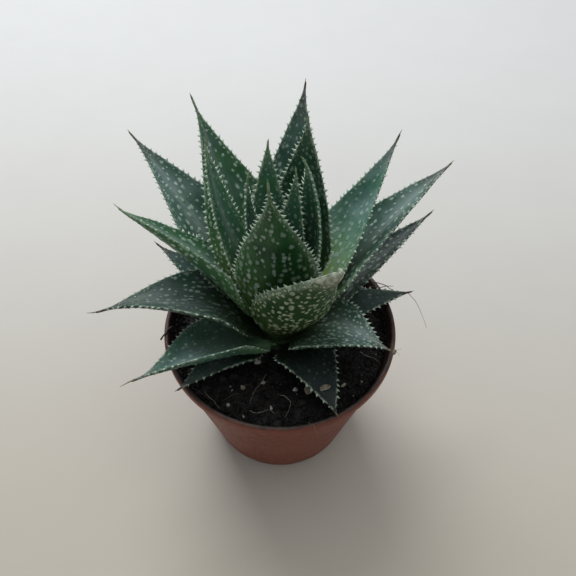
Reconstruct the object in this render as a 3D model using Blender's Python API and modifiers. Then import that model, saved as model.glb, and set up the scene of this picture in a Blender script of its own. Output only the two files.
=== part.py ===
"""Potted gasteria: a rosette of thick, folded, toothed leaves on a short stem in a nursery pot.

Run with: blender --background --python part.py
Metres, +Z up.  The origin is the middle of the pot's base and the pot stands on z = 0.
The named sizes below are millimetres; MM turns them into metres.  Seen from -Y, +X is right.
"""
import math
import random
from collections import namedtuple

import bmesh
import bpy
import numpy as np
from mathutils import Vector, noise

MM = 0.001
OBJECT_NAME = "potted gasteria"
GAP = 0.3               # clearance between pieces that touch

# Pot: a thin tapered shell with a rounded collar and drain slots at its foot
POT_HEIGHT = 66.0
RIM_RADIUS = 45.0
FOOT_RADIUS = 30.0
POT_WALL = 1.2
POT_FLOOR = 1.6
COLLAR_HEIGHT = 3.2
COLLAR_PROUD = 1.4
FOOT_ROUNDING = 1.0
POT_STEPS = 48
DRAIN_SLOTS = 8
DRAIN_SLOT_RADIUS = 2.4

# Soil: fills the pot to just under the rim; its relief and grains never rise above SOIL_TOP
SOIL_TOP = 61.5
SOIL_RELIEF = 1.6
SOIL_LUMP = 6.0
SOIL_STEPS = 48
SOIL_RINGS = 12
GRAIN_SHARE = 0.16      # share of the surface points that carry a raised grain

# Stem: a short crown that tapers up among the leaves and ends below in a root stub
STEM_STEPS = 20
STEM_RADII = ((33, 1.2), (31, 2.4), (28, 3.2), (16, 6.6), (8, 8.2), (0, 9.0))
ROOT_RADII = ((-5, 8.6), (-11, 6.0), (-15, 2.0))

# Leaves: what every leaf shares
LEAF_GAP = 0.35         # between a leaf's base and the stem
WIDEST_AT = 0.3         # share of the length at which a leaf is widest
BASE_WIDTH = 0.4        # width at the stem, as a share of the full width
BASE_THICKNESS = 0.55
EDGE_THICKNESS = 0.8
TIP_THICKNESS = 0.7
TIP_HALF_WIDTH = 0.45
TIP_SPINE = 1.0
TOOTH_LENGTH = 1.4
TOOTH_BASE = 1.3
TOOTH_LEAN = 0.5        # how far a tooth's point leans towards the leaf's tip
TEETH_FROM = 0.16
TEETH_TO = 0.97

# around: degrees from +X to the leaf; up: its base above the soil; rise: slope at base and at tip;
# sweep: change of heading; twist: roll about its own length; fold: slope of its halves;
# ogee: 0 for a straight taper, 1 for one drawn out at the tip; teeth: a side
Leaf = namedtuple("Leaf", "around up length width thick rise_base rise_tip sweep twist fold ogee teeth")
LEAVES = (
    # lowest leaves, over the soil
    Leaf(18, 2.0, 46, 19, 3.2, 15, -2, -4, -1, 31, 0.1, 7),
    Leaf(-143, 2.0, 39, 20, 2.8, 16, -3, 8, 19, 20, 0.2, 6),
    Leaf(63, 2.0, 41, 10, 2.6, 12, 4, 0, -2, 20, 0.3, 6),
    Leaf(110, 2.0, 47, 18, 3.2, 12, 4, 0, -2, 18, 0.3, 7),
    Leaf(-58, 3.8, 36, 25, 2.8, 17, -10, -10, -19, 20, 0.05, 6),
    Leaf(151, 3.9, 51, 19, 3.2, 13, 22, -1, -4, 28, 0.3, 7),
    Leaf(-144, 4.3, 55, 32, 3.2, 30, 5, -1, 26, 40, 1.0, 8),
    Leaf(31, 4.5, 66, 19, 3.2, 24, 24, 2, -3, 34, 0.2, 9),
    # outer leaves
    Leaf(183, 6.5, 64, 34, 3.2, 50, -17, 11, 18, 33, 0.95, 10),
    Leaf(94, 7.0, 60, 23, 3.2, 23, 12, 0, 0, 26, 0.4, 7),
    Leaf(-29, 7.3, 41, 32, 3.2, 42, 8, -6, -10, 28, 0.6, 8),
    Leaf(136, 9.3, 84, 29, 3.2, 38, 27, 4, -9, 29, 0.5, 11),
    Leaf(-71.5, 10.0, 61.5, 33, 3.2, 69, 67, 42, -26, 59, 0.5, 9),
    Leaf(32, 10.7, 79, 28, 3.2, 41, 24, 2, -12, 37, 0.1, 11),
    # middle leaves
    Leaf(164, 11.4, 65, 29, 3.0, 47, 31, 3, 34, 54, 0.0, 10),
    Leaf(42, 13.3, 73, 24, 3.2, 39, 58, 2, -3, 35, 0.4, 10),
    Leaf(-100, 14.2, 78, 30, 3.3, 90, 80, -9, 10, 36, 1.0, 11),
    Leaf(122, 14.5, 79, 30, 3.2, 49, 46, 2, -7, 27, 0.8, 11),
    Leaf(84, 16.8, 77, 30, 3.2, 60, 59, -8, -2, 26, 0.25, 10),
    # inner leaves
    Leaf(155, 19.6, 70, 16, 2.6, 57, 90, -4, -6, 32, 0.05, 8),
    Leaf(67, 20.0, 72, 28, 3.2, 61, 96, -1, 5, 27, 0.35, 10),
    Leaf(36, 22.2, 64, 18, 2.6, 65, 110, 2, 2, 35, 0.2, 8),
    Leaf(112, 24.6, 63, 18, 2.6, 70, 99, -2, -11, 38, 0.2, 8),
    # heart leaves
    Leaf(166, 27.5, 54, 12, 2.2, 69, 98, -2, -6, 34, 0.2, 6),
    Leaf(52, 27.8, 52, 13, 2.2, 80, 92, 1, 6, 36, 0.3, 6),
    Leaf(-58, 30.0, 34, 9, 2.0, 78, 84, 0, 1, 36, 0.4, 5),
)
BLUNT_LEAF = 13         # the leaf whose tip is broken off, counted from 1
BLUNT_TAPER = 0.87      # share of its width lost towards that blunt end
BLUNT_CURVE = 1.9       # 1 for straight margins towards that end, more for bowed ones


def ramp(value, points):
    """Straight-line interpolation through (position, value) points given from high to low."""
    return float(np.interp(value, [p[0] for p in points[::-1]], [p[1] for p in points[::-1]]))


def new_collection(name):
    """A collection linked to the scene."""
    group = bpy.data.collections.new(name)
    bpy.context.scene.collection.children.link(group)
    return group


def make_material(name, colour, roughness):
    """A Principled material with a plain colour."""
    material = bpy.data.materials.new(name)
    material.use_nodes = True
    shader = material.node_tree.nodes["Principled BSDF"]
    shader.inputs["Base Color"].default_value = (*colour, 1.0)
    shader.inputs["Roughness"].default_value = roughness
    shader.inputs["Metallic"].default_value = 0.0
    material.diffuse_color = (*colour, 1.0)
    return material


def add_object(name, mesh, material, group):
    """An object for a finished mesh, in its collection and with its material."""
    mesh.materials.clear()
    mesh.materials.append(material)
    item = bpy.data.objects.new(name, mesh)
    group.objects.link(item)
    return item


def profile_mesh(name, points):
    """An open line in the XZ plane, from (radius, height) points in millimetres."""
    mesh = bpy.data.meshes.new(name)
    verts = [(radius * MM, 0.0, height * MM) for radius, height in points]
    mesh.from_pydata(verts, [(i, i + 1) for i in range(len(verts) - 1)], [])
    return mesh


def add_screw(item, steps):
    """Turn a profile once around Z and close it on the axis."""
    turn = item.modifiers.new("turn", "SCREW")
    turn.steps = steps
    turn.render_steps = steps
    turn.use_merge_vertices = True
    turn.merge_threshold = 0.00001
    turn.use_smooth_shade = False
    return turn


def arc(centre, radius, start, end, steps):
    """Points of a circular arc in the profile plane, angles in degrees."""
    angles = np.radians(np.linspace(start, end, steps))
    return [(centre[0] + radius * math.cos(a), centre[1] + radius * math.sin(a)) for a in angles]


def wall_radius(height):
    """Radius of the pot's outer wall at a height."""
    collar_foot = POT_HEIGHT - COLLAR_HEIGHT
    top_radius = RIM_RADIUS - COLLAR_PROUD
    return FOOT_RADIUS + (top_radius - FOOT_RADIUS) * height / collar_foot


def pot_profile():
    """The pot's section, from the middle of the inside floor, over the rim, to the middle of the base."""
    rim_inside = wall_radius(POT_HEIGHT) - POT_WALL
    lip = (RIM_RADIUS - rim_inside) / 2
    lip_top = (rim_inside + lip, POT_HEIGHT - lip)
    collar_foot = POT_HEIGHT - COLLAR_HEIGHT
    points = [(0.0, POT_FLOOR), (wall_radius(POT_FLOOR) - POT_WALL, POT_FLOOR)]
    points += arc(lip_top, lip, 180, 0, 7)
    points.append((RIM_RADIUS, collar_foot + 0.4))
    points.append((RIM_RADIUS - 0.4, collar_foot))
    points.append((wall_radius(collar_foot), collar_foot))
    points += arc((FOOT_RADIUS - FOOT_ROUNDING, FOOT_ROUNDING), FOOT_ROUNDING, -10, -90, 3)
    points.append((0.0, 0.0))
    return points


def build_pot(group, cutters):
    """The turned pot with half-round drain slots cut through its foot."""
    clay = make_material("pot_terracotta_plastic", (0.30, 0.105, 0.06), 0.6)
    pot = add_object("pot", profile_mesh("pot", pot_profile()), clay, group)
    add_screw(pot, POT_STEPS)
    for i in range(DRAIN_SLOTS):
        turn = 2 * math.pi * (i + 0.5) / DRAIN_SLOTS
        spot = Vector((math.cos(turn), math.sin(turn), 0.0)) * FOOT_RADIUS * MM
        bpy.ops.mesh.primitive_cylinder_add(
            vertices=12, radius=DRAIN_SLOT_RADIUS * MM, depth=9 * MM, location=spot,
            rotation=(0.0, math.pi / 2, turn))
        cutter = bpy.context.object
        cutter.name = f"drain_slot_cutter_{i + 1}"
        cutter.hide_render = True
        cutter.display_type = "WIRE"
        for owner in list(cutter.users_collection):
            owner.objects.unlink(cutter)
        cutters.objects.link(cutter)
    slots = pot.modifiers.new("drain slots", "BOOLEAN")
    slots.operation = "DIFFERENCE"
    slots.operand_type = "COLLECTION"
    slots.collection = cutters
    slots.solver = "EXACT"
    return pot


def stem_outline():
    """(height above the soil, radius) of the stem and its root stub, from the top down."""
    return STEM_RADII + ROOT_RADII


def soil_height(x, y):
    """Surface of the soil: crumbs and clods from two scales of noise, never above SOIL_TOP."""
    coarse = noise.noise(Vector((x / SOIL_LUMP, y / SOIL_LUMP, 0.3)))
    fine = noise.noise(Vector((x / SOIL_LUMP * 2.6, y / SOIL_LUMP * 2.6, 4.1)))
    level = 0.5 + 0.35 * coarse + 0.3 * fine
    return SOIL_TOP - SOIL_RELIEF * min(max(level, 0.1), 1.0)


def build_soil(group):
    """Soil turned from its section, then its top shaped by a formula, with grains raised on it."""
    draw = random.Random(7)
    peat = make_material("soil_peat", (0.022, 0.017, 0.013), 0.95)
    inside = POT_WALL + GAP + 0.1
    bottom = POT_FLOOR + GAP
    hole_gap = GAP + 0.2
    hole_top = ramp(0, stem_outline()) + hole_gap
    edge_level = SOIL_TOP - SOIL_RELIEF
    edge_radius = wall_radius(edge_level) - inside
    hole_bottom = SOIL_TOP + ROOT_RADII[-1][0] - hole_gap
    points = [(0.0, hole_bottom)]
    for height, radius in ROOT_RADII[::-1]:
        points.append((radius + hole_gap, SOIL_TOP + height))
    top_from = len(points)
    for i in range(SOIL_RINGS + 1):
        points.append((hole_top + (edge_radius - hole_top) * i / SOIL_RINGS, edge_level))
    top_to = len(points)
    points.append((wall_radius(bottom) - inside, bottom))
    points.append((0.0, bottom))

    shape = bmesh.new()
    line = [shape.verts.new((radius * MM, 0.0, height * MM)) for radius, height in points]
    edges = [shape.edges.new(pair) for pair in zip(line, line[1:])]
    bmesh.ops.spin(shape, geom=line + edges, cent=(0, 0, 0), axis=(0, 0, 1), dvec=(0, 0, 0),
                   angle=2 * math.pi, steps=SOIL_STEPS, use_merge=True, use_duplicate=False)
    bmesh.ops.remove_doubles(shape, verts=shape.verts, dist=0.00001)
    for vert in shape.verts:
        radius = math.hypot(vert.co.x, vert.co.y) / MM
        if abs(vert.co.z / MM - edge_level) > 0.01 or radius < hole_top - 0.01:
            continue
        height = soil_height(vert.co.x / MM, vert.co.y / MM)
        if draw.random() < GRAIN_SHARE and hole_top + 3 < radius < edge_radius - 1:
            height = SOIL_TOP
        vert.co.z = height * MM
    bmesh.ops.triangulate(shape, faces=shape.faces)
    bmesh.ops.recalc_face_normals(shape, faces=shape.faces)
    mesh = bpy.data.meshes.new("soil")
    shape.to_mesh(mesh)
    shape.free()
    return add_object("soil", mesh, peat, group)


def build_stem(group):
    """The crown and its root stub, turned from their outline."""
    bark = make_material("stem_green", (0.13, 0.16, 0.06), 0.7)
    outline = stem_outline()
    points = [(0.0, SOIL_TOP + outline[0][0])]
    points += [(radius, SOIL_TOP + height) for height, radius in outline]
    points.append((0.0, SOIL_TOP + outline[-1][0]))
    stem = add_object("stem", profile_mesh("stem", points), bark, group)
    add_screw(stem, STEM_STEPS)
    return stem


def leaf_midline(leaf, stations):
    """Points along the leaf's middle with its length, side and face directions.

    The slope goes evenly from rise_base to rise_tip and the heading turns by sweep; each point is
    the sum of the steps before it.  Twist comes in over the first third of the length.
    """
    fine = np.linspace(0.0, 1.0, 201)
    slope = np.radians(leaf.rise_base + (leaf.rise_tip - leaf.rise_base) * fine)
    heading = np.radians(leaf.around + leaf.sweep * fine)
    along = np.stack([np.cos(slope) * np.cos(heading), np.cos(slope) * np.sin(heading), np.sin(slope)], 1)
    steps = (along[1:] + along[:-1]) / 2 * leaf.length / (len(fine) - 1)
    stand_off = ramp(leaf.up, stem_outline()) + LEAF_GAP
    turn = math.radians(leaf.around)
    start = np.array([stand_off * math.cos(turn), stand_off * math.sin(turn), SOIL_TOP + leaf.up])
    path = start + np.vstack([np.zeros(3), np.cumsum(steps, axis=0)])

    pick = np.array(stations)
    slope = np.interp(pick, fine, slope)
    heading = np.interp(pick, fine, heading)
    zero = np.zeros_like(pick)
    points = np.stack([np.interp(pick, fine, path[:, k]) for k in range(3)], 1)
    along = np.stack([np.cos(slope) * np.cos(heading), np.cos(slope) * np.sin(heading), np.sin(slope)], 1)
    side = np.stack([-np.sin(heading), np.cos(heading), zero], 1)
    face = np.stack([-np.sin(slope) * np.cos(heading), -np.sin(slope) * np.sin(heading), np.cos(slope)], 1)
    roll = np.radians(leaf.twist) * np.clip(pick / 0.35, 0, 1)[:, None]
    turned_side = side * np.cos(roll) + face * np.sin(roll)
    turned_face = face * np.cos(roll) - side * np.sin(roll)
    return points, along, turned_side, turned_face


def leaf_half_width(leaf, t, blunt):
    """Half the leaf's width at a share t of its length."""
    grow = BASE_WIDTH + (1 - BASE_WIDTH) * np.sin(np.pi / 2 * np.clip(t / WIDEST_AT, 0, 1))
    s = np.clip((t - WIDEST_AT) / (1 - WIDEST_AT), 0, 1)
    if blunt:
        taper = 1 - BLUNT_TAPER * s ** BLUNT_CURVE
    else:
        taper = (1 - leaf.ogee) * (1 - s) + leaf.ogee * 0.5 * (1 + np.cos(np.pi * s))
    share = np.where(t < WIDEST_AT, grow, taper)
    return np.maximum(leaf.width / 2 * share, TIP_HALF_WIDTH)


def leaf_thickness(leaf, t):
    """Thickness over the keel: thin at the stem, full at a third, then drawn down to the tip."""
    body = (0.85 * (1 - t) ** 0.6 + 0.15) * (BASE_THICKNESS + (1 - BASE_THICKNESS) * np.clip(t / 0.3, 0, 1))
    return np.maximum(leaf.thick * body, TIP_THICKNESS)


# A ring's points, as shares of the half width: across the upper face, then back across the underside.
# Each quad is split from its outer point to the next ring's inner point, so both faces split alike.
UPPER_ACROSS = (1.0, 0.5, 0.0, -0.5, -1.0)
LOWER_ACROSS = (-1.0, -0.55, 0.0, 0.55, 1.0)
OUTER_POINT_FIRST = (0, 1, 5, 6)    # ring edges that run from the margin towards the middle
UPPER_MIDDLE = UPPER_ACROSS.index(0.0)
LOWER_MIDDLE = len(UPPER_ACROSS) + LOWER_ACROSS.index(0.0)
BASE_POINT_DEPTH = 0.65             # where the faces of a leaf's base meet, as a share of its thickness


def leaf_rings(leaf, t, blunt):
    """Rings of ten points: the leaf folds up along an arc, and its underside hangs below that arc."""
    points, along, side, face = leaf_midline(leaf, t)
    half = leaf_half_width(leaf, t, blunt)
    fold = np.radians(leaf.fold) * (0.55 + 0.45 * np.clip(t / 0.3, 0, 1))
    thick = leaf_thickness(leaf, t)
    edge = np.minimum(EDGE_THICKNESS, thick)

    def across(share):
        bend = fold * share
        out = (half / fold * np.sin(bend))[:, None] * side
        lift = (half / fold * (1 - np.cos(bend)))[:, None] * face
        normal = face * np.cos(bend)[:, None] - side * np.sin(bend)[:, None]
        return points + out + lift, normal

    upper = [across(share)[0] for share in UPPER_ACROSS]
    lower = []
    for share in LOWER_ACROSS:
        surface, normal = across(share)
        depth = edge + (thick - edge) * max(0.0, 1 - share * share) ** 0.7
        lower.append(surface - normal * depth[:, None])
    outward = [side * (sign * np.cos(fold))[:, None] + face * np.sin(fold)[:, None] for sign in (1, -1)]
    return np.stack(upper + lower, axis=1), along, outward


def leaf_stations(leaf):
    """Stations in pairs, one pair at the foot of each tooth, and the number of the first of each pair."""
    starts = TEETH_FROM + (TEETH_TO - TEETH_FROM) * np.arange(leaf.teeth) / leaf.teeth
    t = [0.0, TEETH_FROM / 2]
    toothed = []
    for start in starts:
        toothed.append(len(t))
        t += [start, start + TOOTH_BASE / leaf.length]
    return np.array(t + [1.0]), toothed


def build_leaf(number, leaf, group):
    """One leaf: a loft through its rings, a four-sided spike for each tooth, and a pointed tip."""
    blunt = number == BLUNT_LEAF
    t, toothed = leaf_stations(leaf)
    rings, along, outward = leaf_rings(leaf, t, blunt)
    count = rings.shape[1]
    verts = [tuple(p) for p in rings.reshape(-1, 3)]
    faces = []

    def at(station, place):
        return station * count + place % count

    left_wall, right_wall = count - 1, len(UPPER_ACROSS) - 1
    for i in range(len(t) - 1):
        for k in range(count):
            a, b = at(i, k), at(i, k + 1)
            c, d = at(i + 1, k + 1), at(i + 1, k)
            if i in toothed and k in (left_wall, right_wall):
                out = outward[0 if k == left_wall else 1][i]
                foot = np.mean([verts[v] for v in (a, b, c, d)], axis=0)
                verts.append(tuple(foot + out * TOOTH_LENGTH + along[i] * TOOTH_LEAN))
                point = len(verts) - 1
                faces += [(a, b, point), (b, c, point), (c, d, point), (d, a, point)]
            elif k in OUTER_POINT_FIRST:
                faces += [(a, b, c), (a, c, d)]
            else:
                faces += [(a, b, d), (b, c, d)]
    upper_middle, lower_middle = rings[0][UPPER_MIDDLE], rings[0][LOWER_MIDDLE]
    verts.append(tuple(upper_middle + (lower_middle - upper_middle) * BASE_POINT_DEPTH))
    faces += [(at(0, k + 1), at(0, k), len(verts) - 1) for k in range(count)]
    last = len(t) - 1
    verts.append(tuple(rings[-1].mean(axis=0) + along[-1] * (0.3 if blunt else TIP_SPINE)))
    faces += [(at(last, k), at(last, k + 1), len(verts) - 1) for k in range(count)]

    mesh = bpy.data.meshes.new(f"leaf_{number:02d}")
    mesh.from_pydata([(x * MM, y * MM, z * MM) for x, y, z in verts], [], faces)
    shape = bmesh.new()
    shape.from_mesh(mesh)
    bmesh.ops.recalc_face_normals(shape, faces=shape.faces)
    shape.to_mesh(mesh)
    shape.free()
    youth = number / len(LEAVES)
    green = make_material(f"leaf_{number:02d}_green", (0.03 + 0.02 * youth, 0.075 + 0.02 * youth, 0.04), 0.45)
    return add_object(f"leaf_{number:02d}", mesh, green, group)


def build():
    """Empty the scene and build every piece."""
    for item in list(bpy.data.objects):
        bpy.data.objects.remove(item, do_unlink=True)
    group = new_collection(OBJECT_NAME)
    cutters = new_collection("cutters")
    build_pot(group, cutters)
    build_soil(group)
    build_stem(group)
    for number, leaf in enumerate(LEAVES, start=1):
        build_leaf(number, leaf, group)


build()
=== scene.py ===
"""Potted gasteria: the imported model's pieces dressed as grown leaves, crumbly soil and a moulded pot.

Shapes are worked out in millimetres, which fill_mesh() turns into metres.  Finishes, the camera and the
lamps are in metres.  Seen from -Y, +X is right.

Every piece is worked out as arrays: a grid of two parameters, a profile along a path, or one small
shape stamped many times.
"""
import math
from collections import namedtuple
from functools import cached_property

import bmesh
import bpy
import numpy as np
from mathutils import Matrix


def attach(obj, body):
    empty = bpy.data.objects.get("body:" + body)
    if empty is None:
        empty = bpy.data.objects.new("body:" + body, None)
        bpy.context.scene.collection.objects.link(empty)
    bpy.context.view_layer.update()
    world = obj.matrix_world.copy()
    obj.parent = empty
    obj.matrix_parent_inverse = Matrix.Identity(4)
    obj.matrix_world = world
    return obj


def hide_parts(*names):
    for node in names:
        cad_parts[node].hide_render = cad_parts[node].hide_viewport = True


MM = 0.001
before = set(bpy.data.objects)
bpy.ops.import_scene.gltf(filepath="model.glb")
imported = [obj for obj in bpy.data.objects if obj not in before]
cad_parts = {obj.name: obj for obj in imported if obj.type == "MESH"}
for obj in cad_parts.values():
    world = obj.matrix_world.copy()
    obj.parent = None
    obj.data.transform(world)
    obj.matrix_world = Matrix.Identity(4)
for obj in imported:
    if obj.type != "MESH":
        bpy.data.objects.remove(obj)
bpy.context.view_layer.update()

# Sizes of the pot, soil and stem, as in the model's source
POT_HEIGHT = 66.0
RIM_RADIUS = 45.0
FOOT_RADIUS = 30.0
POT_WALL = 1.2
POT_FLOOR = 1.6
COLLAR_HEIGHT = 3.2
COLLAR_PROUD = 1.4
COLLAR_FOOT = POT_HEIGHT - COLLAR_HEIGHT
FOOT_ROUNDING = 1.0
DRAIN_SLOTS = 8
DRAIN_SLOT_RADIUS = 2.4
SOIL_TOP = 61.5
SOIL_RELIEF = 1.9
STEM_OUTLINE = ((33, 1.2), (31, 2.4), (28, 3.2), (16, 6.6), (8, 8.2), (0, 9.0), (-5, 8.6), (-11, 6.0),
                (-15, 2.0))

# What every leaf shares, as in the model's source
LEAF_GAP = 0.35
WIDEST_AT = 0.3
BASE_WIDTH = 0.4
BASE_THICKNESS = 0.55
EDGE_THICKNESS = 0.8
TIP_THICKNESS = 0.7
TIP_HALF_WIDTH = 0.45
HAIR_HALF_WIDTH = 0.16  # the last of a blade narrows to this where its dry hair begins
BLUNT_TAPER = 0.87      # share of its width that the blunt leaf loses up to its broken end
BLUNT_CURVE = 1.9       # power of that taper: the higher, the later it narrows
WORN_END_SWELLING = 1.5  # how much thicker its healed end is

# Each leaf from the lowest to the heart, in the order of Leaf's fields
LEAF_ROWS = (
    (18, 2.0, 46, 19, 3.2, 15, -2, -4, -1, 31, 0.1, 1.0),
    (-143, 2.0, 39, 20, 2.8, 16, -3, 8, 19, 20, 0.2, 1.0),
    (63, 2.0, 41, 10, 2.6, 12, 4, 0, -2, 20, 0.3, 1.0),
    (110, 2.0, 47, 18, 3.2, 12, 4, 0, -2, 18, 0.3, 1.0),
    (-58, 3.8, 36, 25, 2.8, 17, -10, -10, -19, 20, 0.05, 0.8),
    (151, 3.9, 51, 19, 3.2, 13, 22, -1, -4, 28, 0.3, 1.2),
    (-144, 4.3, 55, 32, 3.2, 30, 5, -1, 26, 40, 1.0, 4.2),
    (31, 4.5, 66, 19, 3.2, 24, 24, 2, -3, 34, 0.2, 1.0),
    (183, 6.5, 64, 34, 3.2, 50, -17, 11, 18, 33, 0.95, 3.4),
    (94, 7.0, 60, 23, 3.2, 23, 12, 0, 0, 26, 0.4, 1.2),
    (-29, 7.3, 41, 32, 3.2, 42, 8, -6, -10, 28, 0.6, 0.8),
    (136, 9.3, 84, 29, 3.2, 38, 27, 4, -9, 29, 0.5, 1.0),
    (-71.5, 10.0, 61.5, 33, 3.2, 69, 67, 42, -26, 59, 0.5, 0.0),
    (32, 10.7, 79, 28, 3.2, 41, 24, 2, -12, 37, 0.1, 1.2),
    (164, 11.4, 65, 29, 3.0, 47, 31, 3, 34, 54, 0.0, 2.2),
    (42, 13.3, 73, 24, 3.2, 39, 58, 2, -3, 35, 0.4, 1.6),
    (-100, 14.2, 78, 30, 3.3, 90, 80, -9, 10, 36, 1.0, 0.8),
    (122, 14.5, 79, 30, 3.2, 49, 46, 2, -7, 27, 0.8, 1.0),
    (84, 16.8, 77, 30, 3.2, 60, 59, -8, -2, 26, 0.25, 1.0),
    (155, 19.6, 70, 16, 2.6, 57, 90, -4, -6, 32, 0.05, 1.0),
    (67, 20.0, 72, 28, 3.2, 61, 96, -1, 5, 27, 0.35, 1.4),
    (36, 22.2, 64, 18, 2.6, 65, 110, 2, 2, 35, 0.2, 1.0),
    (112, 24.6, 63, 18, 2.6, 70, 99, -2, -11, 38, 0.2, 1.0),
    (166, 27.5, 54, 12, 2.2, 69, 98, -2, -6, 34, 0.2, 1.6),
    (52, 27.8, 52, 13, 2.2, 80, 92, 1, 6, 36, 0.3, 1.0),
    (-58, 30.0, 34, 9, 2.0, 78, 84, 0, 1, 36, 0.4, 1.0),
)
MIDDLE_FROM = 15        # leaves from this number on are in the middle ring
INNER_FROM = 20         # and from this number on in the inner ring

# Painted light and shade on each leaf's green, and the share of it kept at the base as painted shade among
# the bases, by leaf or by ring
LEAF_PAINTED_LIGHT_AND_SHADE = {1: 0.5, 2: 0.65, 3: 0.7, 5: 0.21, 7: 1.15, 8: 0.34, 9: 0.6, 11: 0.88, 12: 1.22, 13: 0.86,
              14: 1.15, 15: 1.22, 16: 2.25, 17: 0.84, 18: 1.12, 19: 1.12, 20: 1.6, 21: 0.7, 22: 1.25,
              23: 1.4, 24: 1.2, 25: 1.2}
BASE_PAINTED_SHADE = {"outer": 0.42, "middle": 0.62, "inner": 0.72, 7: 1.4}
# How far the yellow-green of the base shows, and how strongly the spots do, where a leaf differs
WARM_BASES = {13: 0.5, 16: 1.25, 18: 1.1, 14: 0.7, 12: 0.6, 1: 0.2, 2: 0.2, 5: 0.2, 7: 0.3, 8: 0.3, 17: 0.7}
# the weaker spots of leaves 1, 2 and 5 go with their painted shade
SPOT_STRENGTHS = {1: 0.50, 2: 0.42, 5: 0.36, 7: 0.50, 8: 0.9, 9: 0.9}
# Where across a leaf's upper face a pale streak of wax and painted sheen runs along it, from -1 to 1, and how
# wide it is
WAX_AND_SHEEN_STREAKS = {12: 0.25, 14: -0.25, 15: -0.3, 11: 0.35, 9: 0.2, 18: 0.3, 20: 0.0}
STREAK_SPREAD = 0.22
# The finish of the leaves that differ from their ring's
OWN_FINISH = {13: "front", 16: "outer", 17: "centre", 19: "outer"}

# Blade, spots and teeth
BLADE_STATIONS = 132
FACE_POINTS = 21        # points across one face of a blade
MARGIN_POINTS = 5       # points round each rounded margin, between the faces
SHEATH = 5.0            # how far a blade runs on into the stem
WORN_RINGS = (0.93, 0.78, 0.55, 0.28)  # what the rings over the worn end keep of the blade's last ring
WORN_END_REACH = 1.1    # how far that rounded end would reach past the blade

# Half width of a spot, its length over its width, and the gap between rows: upper face, then underside
SPOTS = {"outer": ((0.84, 1.5, 2.7), (0.82, 1.6, 2.7)), "middle": ((0.92, 1.5, 2.9), (0.92, 1.6, 2.7)),
         "inner": ((0.90, 1.4, 2.8), (0.92, 1.5, 2.7)), 13: ((0.80, 1.5, 2.3), (1.06, 1.35, 2.1)),
         17: ((0.80, 1.6, 2.8), (1.04, 1.5, 2.8)), 11: ((0.82, 1.5, 2.2), (0.76, 1.6, 2.5)),
         8: ((0.95, 1.6, 2.3), (0.95, 1.6, 2.3))}
SPOT_STEP = {13: 1.5}   # how much further apart a leaf's spots stand along it
# Length of a leaf's teeth and the step between them, and how white they are
TEETH = {"outer": (1.2, 2.3), "middle": (1.15, 2.2), "inner": (1.35, 2.1), 7: (1.0, 2.3), 9: (1.1, 2.5),
         11: (1.2, 2.0), 13: (1.35, 3.3), 17: (1.5, 2.25), 19: (1.25, 2.1)}
TOOTH_WHITES = {"outer": 0.6, "middle": 0.85, "inner": 1.0}

# What lies on the soil: how many of each, and how far out
CRUMBS = 3600
CHUNKS = 110            # of the crumbs, those that are larger
CLODS = 60              # and those that are largest
BANK_CRUMBS = 1500
GRAINS = 110
SLIVERS = 150
FIBRES = 420
ROOTS = 30
LITTER_REACH = 40.0
BANK_REACH = 41.6


# Numbers and small shapes

def rescale(value, low, high):
    """Share of the way from low to high, kept between 0 and 1 and eased at both ends."""
    share = np.clip((value - low) / (high - low), 0.0, 1.0)
    return share * share * (3 - 2 * share)


def ramp(value, points):
    """Straight-line interpolation through (position, value) points given from high to low."""
    return np.interp(value, *zip(*points[::-1]))


def lattice_noise(points, size, seed):
    """Smooth noise from -1 to 1: a random number on each corner of a cubic lattice, blended in between."""
    place = np.asarray(points, float) / size
    cell = np.floor(place).astype(np.int64)
    part = place - cell
    part = part * part * (3 - 2 * part)
    total = np.zeros(place.shape[:-1])
    for corner in range(8):
        step = np.array([(corner >> k) & 1 for k in range(3)])
        x, y, z = np.moveaxis(cell + step, -1, 0)
        # large odd numbers keep the values of neighbouring corners apart
        mixed = (x * 73856093) ^ (y * 19349663) ^ (z * 83492791) ^ (seed * 2654435761)
        mixed = (mixed ^ (mixed >> 13)) & 0xFFFFFFFF
        mixed = (mixed * 1274126177) & 0xFFFFFFFF
        mixed = mixed ^ (mixed >> 16)
        value = (mixed & 0xFFFF) / 32767.5 - 1
        total += value * np.prod(np.where(step == 1, part, 1 - part), axis=-1)
    return total


def unit(vectors):
    """The vectors at length 1."""
    return vectors / np.maximum(np.linalg.norm(vectors, axis=-1, keepdims=True), 1e-9)


def towards(slope, heading):
    """Directions from a slope and a heading in radians."""
    return np.stack([np.cos(slope) * np.cos(heading), np.cos(slope) * np.sin(heading), np.sin(slope)], -1)


def circle(steps):
    """Angles all round, in radians."""
    return np.linspace(0, 2 * np.pi, steps, endpoint=False)


def rings_of(profile, steps):
    """A level ring of points for each (radius, height) of a profile."""
    turn = circle(steps)
    radius, height = np.array(profile, float).T[..., None]
    return np.stack([radius * np.cos(turn), radius * np.sin(turn), height + 0 * turn], -1)


def grid_faces(rows, columns):
    """Four-sided faces between rings of points."""
    i = np.arange(rows - 1)[:, None]
    j = np.arange(columns)[None, :]
    a = i * columns + j
    b = i * columns + (j + 1) % columns
    return np.stack([a, b, b + columns, a + columns], -1).reshape(-1, 4)


def fan_faces(first, count, pole, turned=False):
    """Three-sided faces from a ring of points to one pole."""
    a = first + np.arange(count)
    b = first + (np.arange(count) + 1) % count
    pair = (b, a) if turned else (a, b)
    return np.stack([*pair, np.full(count, pole)], -1)


def point_out(points, faces):
    """The faces, turned round if the volume that they hold comes out negative."""
    p = points - points.mean(axis=0)
    volume = sum(np.einsum("ij,ij->i", p[g[:, 0]], np.cross(p[g[:, k]], p[g[:, k + 1]])).sum()
                 for g in faces for k in range(1, g.shape[1] - 1))
    return [group[:, ::-1] for group in faces] if volume < 0 else faces


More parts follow.
